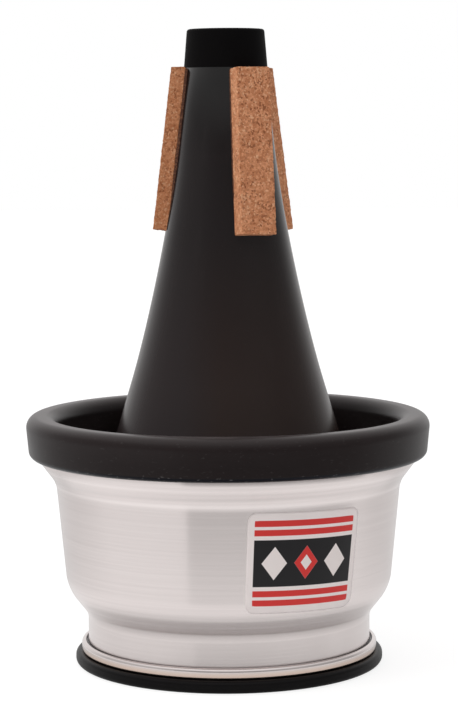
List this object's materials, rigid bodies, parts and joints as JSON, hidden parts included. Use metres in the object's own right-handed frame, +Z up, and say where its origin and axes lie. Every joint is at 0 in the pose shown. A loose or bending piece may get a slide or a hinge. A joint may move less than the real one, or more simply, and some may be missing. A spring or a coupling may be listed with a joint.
{
  "type": "trumpet cup mute",
  "caption": "Corked cone mute with an adjustable spun metal cup that slides and turns on its skirt, edged with a slit rubber hose.",
  "frame": {"origin": "centre of the base plate's underside, which is the bottom centre of the whole mute", "axes": "+Z up along the cone's axis towards the narrow throat; -Y is the side pictured; cork_strip_1 stands about 28 degrees from it towards +X, and so does the label on the cup"},
  "size_m": [0.1352, 0.1352, 0.2116],
  "materials": {
    "cone_black": "satin black",
    "collar_black": "matte black",
    "base_black": "satin black, moulded",
    "cork": "ground agglomerated cork",
    "spun_aluminium": "satin, turned grain round the axis",
    "edging_rubber": "soft matte black hose",
    "ring_rubber": "matte"
  },
  "bodies": {
    "mute_body": {"mute_cone": "cone_black", "base_plate": "base_black", "throat_collar": "collar_black", "cork_strip_1": "cork", "cork_strip_2": "cork", "cork_strip_3": "cork"},
    "ring": {"friction_ring": "ring_rubber"},
    "cup": {"cup_bowl": "spun_aluminium", "rim_edging": "edging_rubber"}
  },
  "joints": [
    {"name": "cup_slide", "type": "slide", "parent": "mute_body", "child": "ring", "axis": [0, 0, 1], "range_m": [0, 0.02]},
    {"name": "cup_turn", "type": "hinge", "parent": "ring", "child": "cup", "pos_m": [0, 0, 0.0065], "axis": [0, 0, 1], "continuous": true}
  ]
}
